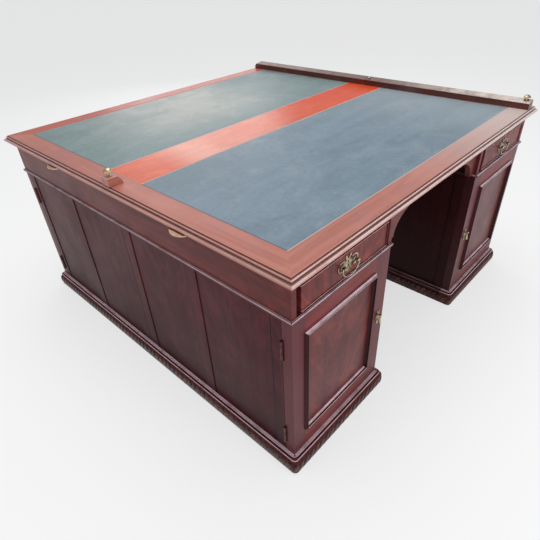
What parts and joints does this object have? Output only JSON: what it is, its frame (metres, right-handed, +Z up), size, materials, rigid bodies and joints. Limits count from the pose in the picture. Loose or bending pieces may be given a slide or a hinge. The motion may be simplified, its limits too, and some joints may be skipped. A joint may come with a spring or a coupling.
{
  "type": "partners' pedestal writing desk",
  "caption": "Square partners' writing desk: double-depth pedestals with cupboards and drawers on both faces, a through kneehole, leather-lined top and a low end gallery.",
  "frame": {"origin": "on the floor, midway between the pedestals and midway between the two kneehole faces; the bottom centre of the desk's bounding box to 8 mm, since two edge tabs stand out at the -X end only", "axes": "+Z up; X along the kneehole faces with the low gallery at the +X end; -Y is the front partner's face and +Y the rear partner's face"},
  "size_m": [1.605, 1.6, 0.824],
  "materials": {
    "mahogany": "french polished, worn",
    "figured_mahogany": "french polished, flame figure",
    "faded_mahogany": "french polished, sun-faded",
    "strip_veneer": "french polished, bright",
    "carcase_wood": "planed, unpolished",
    "leather": "smooth desk leather, worn",
    "brass": "antique",
    "knob_brass": "worn bright"
  },
  "bodies": {
    "desk": {"top_frame": "faded_mahogany", "centre_strip": "strip_veneer", "top_panels": "carcase_wood", "leathers": "leather", "gallery_rails": "mahogany", "centre_block": "mahogany", "knobs": "knob_brass", "edge_tabs": "knob_brass", "frieze_sides": "mahogany", "drawer_surrounds": "mahogany", "aprons": "mahogany", "drawer_runners": "carcase_wood", "frieze_bearers": "carcase_wood", "pedestal_caps": "mahogany", "pedestal_stiles": "mahogany", "pedestal_panels": "figured_mahogany", "cupboard_boards": "carcase_wood", "shelves": "carcase_wood", "plinths": "mahogany", "hinge_fixed_leaves": "brass"},
    "door_front_left": {"door_frame_front_left": "mahogany", "door_panel_front_left": "figured_mahogany", "door_moulding_front_left": "mahogany", "hinge_leaves_front_left": "brass", "pull_plate_front_left": "brass"},
    "drawer_front_left": {"drawer_face_front_left": "figured_mahogany", "drawer_box_front_left": "carcase_wood", "handle_plate_front_left": "brass"},
    "bail_front_left": {"bail_front_left": "brass"},
    "drop_front_left": {"pull_drop_front_left": "brass"},
    "door_front_right": {"door_frame_front_right": "mahogany", "door_panel_front_right": "figured_mahogany", "door_moulding_front_right": "mahogany", "hinge_leaves_front_right": "brass", "pull_plate_front_right": "brass"},
    "drawer_front_right": {"drawer_face_front_right": "figured_mahogany", "drawer_box_front_right": "carcase_wood", "handle_plate_front_right": "brass"},
    "bail_front_right": {"bail_front_right": "brass"},
    "drop_front_right": {"pull_drop_front_right": "brass"},
    "door_rear_left": {"door_frame_rear_left": "mahogany", "door_panel_rear_left": "figured_mahogany", "door_moulding_rear_left": "mahogany", "hinge_leaves_rear_left": "brass", "pull_plate_rear_left": "brass"},
    "drawer_rear_left": {"drawer_face_rear_left": "figured_mahogany", "drawer_box_rear_left": "carcase_wood", "handle_plate_rear_left": "brass"},
    "bail_rear_left": {"bail_rear_left": "brass"},
    "drop_rear_left": {"pull_drop_rear_left": "brass"},
    "door_rear_right": {"door_frame_rear_right": "mahogany", "door_panel_rear_right": "figured_mahogany", "door_moulding_rear_right": "mahogany", "hinge_leaves_rear_right": "brass", "pull_plate_rear_right": "brass"},
    "drawer_rear_right": {"drawer_face_rear_right": "figured_mahogany", "drawer_box_rear_right": "carcase_wood", "handle_plate_rear_right": "brass"},
    "bail_rear_right": {"bail_rear_right": "brass"},
    "drop_rear_right": {"pull_drop_rear_right": "brass"}
  },
  "joints": [
    {"name": "door_hinge_front_left", "type": "hinge", "parent": "desk", "child": "door_front_left", "pos_m": [-0.7675, -0.73575, 0.32], "axis": [0, 0, -1], "range_deg": [0, 110]},
    {"name": "drawer_slide_front_left", "type": "slide", "parent": "desk", "child": "drawer_front_left", "axis": [0, -1, 0], "range_m": [0, 0.45]},
    {"name": "bail_pivot_front_left", "type": "hinge", "parent": "drawer_front_left", "child": "bail_front_left", "pos_m": [-0.536, -0.7816, 0.6725], "axis": [-1, 0, 0], "range_deg": [0, 80]},
    {"name": "drop_pivot_front_left", "type": "hinge", "parent": "door_front_left", "child": "drop_front_left", "pos_m": [-0.337, -0.7806, 0.3595], "axis": [-1, 0, 0], "range_deg": [0, 80]},
    {"name": "door_hinge_front_right", "type": "hinge", "parent": "desk", "child": "door_front_right", "pos_m": [0.7675, -0.73575, 0.32], "axis": [0, 0, 1], "range_deg": [0, 110]},
    {"name": "drawer_slide_front_right", "type": "slide", "parent": "desk", "child": "drawer_front_right", "axis": [0, -1, 0], "range_m": [0, 0.45]},
    {"name": "bail_pivot_front_right", "type": "hinge", "parent": "drawer_front_right", "child": "bail_front_right", "pos_m": [0.536, -0.7816, 0.6725], "axis": [-1, 0, 0], "range_deg": [0, 80]},
    {"name": "drop_pivot_front_right", "type": "hinge", "parent": "door_front_right", "child": "drop_front_right", "pos_m": [0.337, -0.7806, 0.3595], "axis": [-1, 0, 0], "range_deg": [0, 80]},
    {"name": "door_hinge_rear_left", "type": "hinge", "parent": "desk", "child": "door_rear_left", "pos_m": [-0.7675, 0.73575, 0.32], "axis": [0, 0, 1], "range_deg": [0, 110]},
    {"name": "drawer_slide_rear_left", "type": "slide", "parent": "desk", "child": "drawer_rear_left", "axis": [0, 1, 0], "range_m": [0, 0.45]},
    {"name": "bail_pivot_rear_left", "type": "hinge", "parent": "drawer_rear_left", "child": "bail_rear_left", "pos_m": [-0.536, 0.7816, 0.6725], "axis": [1, 0, 0], "range_deg": [0, 80]},
    {"name": "drop_pivot_rear_left", "type": "hinge", "parent": "door_rear_left", "child": "drop_rear_left", "pos_m": [-0.337, 0.7806, 0.3595], "axis": [1, 0, 0], "range_deg": [0, 80]},
    {"name": "door_hinge_rear_right", "type": "hinge", "parent": "desk", "child": "door_rear_right", "pos_m": [0.7675, 0.73575, 0.32], "axis": [0, 0, -1], "range_deg": [0, 110]},
    {"name": "drawer_slide_rear_right", "type": "slide", "parent": "desk", "child": "drawer_rear_right", "axis": [0, 1, 0], "range_m": [0, 0.45]},
    {"name": "bail_pivot_rear_right", "type": "hinge", "parent": "drawer_rear_right", "child": "bail_rear_right", "pos_m": [0.536, 0.7816, 0.6725], "axis": [1, 0, 0], "range_deg": [0, 80]},
    {"name": "drop_pivot_rear_right", "type": "hinge", "parent": "door_rear_right", "child": "drop_rear_right", "pos_m": [0.337, 0.7806, 0.3595], "axis": [1, 0, 0], "range_deg": [0, 80]}
  ]
}
